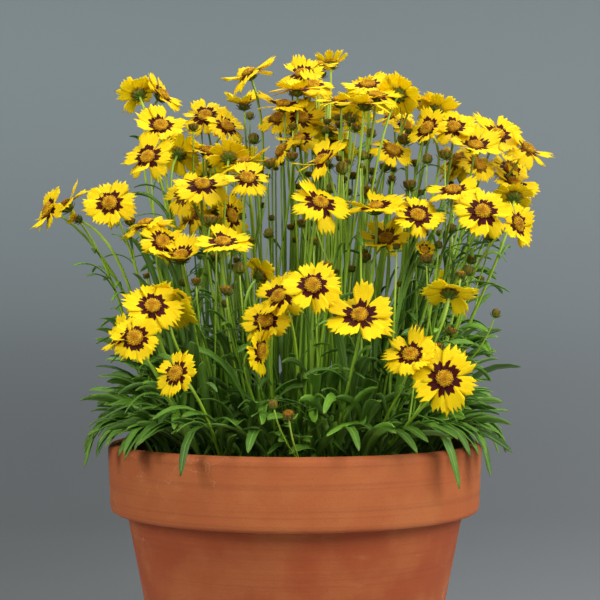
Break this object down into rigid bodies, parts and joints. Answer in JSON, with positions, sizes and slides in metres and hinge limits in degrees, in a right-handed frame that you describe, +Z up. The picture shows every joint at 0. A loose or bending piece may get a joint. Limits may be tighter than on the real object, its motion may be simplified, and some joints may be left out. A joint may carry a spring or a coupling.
{
  "type": "potted coreopsis",
  "caption": "Coreopsis in a terracotta pot: a dense clump of lance-shaped leaves, thin stems, green buds and yellow daisy blooms with a dark eye, rooted in a rimmed pot of soil.",
  "frame": {"origin": "middle of the pot's underside, on the ground", "axes": "+Z up along the pot's axis; -Y towards the side that the fullest view of the blooms faces; +X to the right seen from there"},
  "size_m": [0.4088, 0.344, 0.6017],
  "materials": {
    "terracotta": "matte, unglazed, dusty",
    "potting_soil": "matte, crumbly",
    "leaf_green": "satin",
    "petal_yellow": "matte, velvety"
  },
  "bodies": {
    "root": {"pot": "terracotta", "soil": "potting_soil", "clump": "leaf_green", "bloom_far_left": "petal_yellow", "bloom_far_left_young": "petal_yellow", "bloom_left_face": "petal_yellow", "bloom_left_level": "petal_yellow", "bloom_crest_left": "petal_yellow", "bloom_left_top": "petal_yellow", "bloom_left_back": "petal_yellow", "bloom_left_ridge": "petal_yellow", "bloom_left_inner": "petal_yellow", "bloom_crest_lone": "petal_yellow", "bloom_crest_young": "petal_yellow", "bloom_crest_cup": "petal_yellow", "bloom_crest_trio": "petal_yellow", "bloom_crest_mid": "petal_yellow", "bloom_mid_bunch": "petal_yellow", "bloom_mid_tilt": "petal_yellow", "bloom_mid_left": "petal_yellow", "bloom_mid_low": "petal_yellow", "bloom_right_crown": "petal_yellow", "bloom_right_flat": "petal_yellow", "bloom_right_peak": "petal_yellow", "bloom_right_hidden": "petal_yellow", "bloom_right_gap": "petal_yellow", "bloom_right_droop": "petal_yellow", "bloom_right_front": "petal_yellow", "bloom_right_edge": "petal_yellow", "bloom_right_dull": "petal_yellow", "bloom_right_rim": "petal_yellow", "bloom_right_level": "petal_yellow", "bloom_right_face": "petal_yellow", "bloom_right_corner": "petal_yellow", "bloom_left_dull": "petal_yellow", "bloom_left_low": "petal_yellow", "bloom_mid_small": "petal_yellow", "bloom_mid_face": "petal_yellow", "bloom_right_pair": "petal_yellow", "bloom_right_cup": "petal_yellow", "bloom_right_young": "petal_yellow", "bloom_front_face": "petal_yellow", "bloom_front_run": "petal_yellow", "bloom_front_big": "petal_yellow", "bloom_front_left": "petal_yellow", "bloom_front_corner": "petal_yellow", "bloom_front_low": "petal_yellow", "bloom_front_right": "petal_yellow", "bloom_front_duo": "petal_yellow", "bloom_back_face": "petal_yellow", "bloom_back_low": "petal_yellow", "bloom_back_left": "petal_yellow", "bloom_back_right": "petal_yellow", "bloom_back_dome": "petal_yellow", "bloom_back_side": "petal_yellow", "bloom_back_edge": "petal_yellow", "bloom_back_high": "petal_yellow", "bloom_back_top": "petal_yellow", "bloom_back_mid": "petal_yellow", "bloom_back_wing": "petal_yellow"}
  },
  "joints": []
}
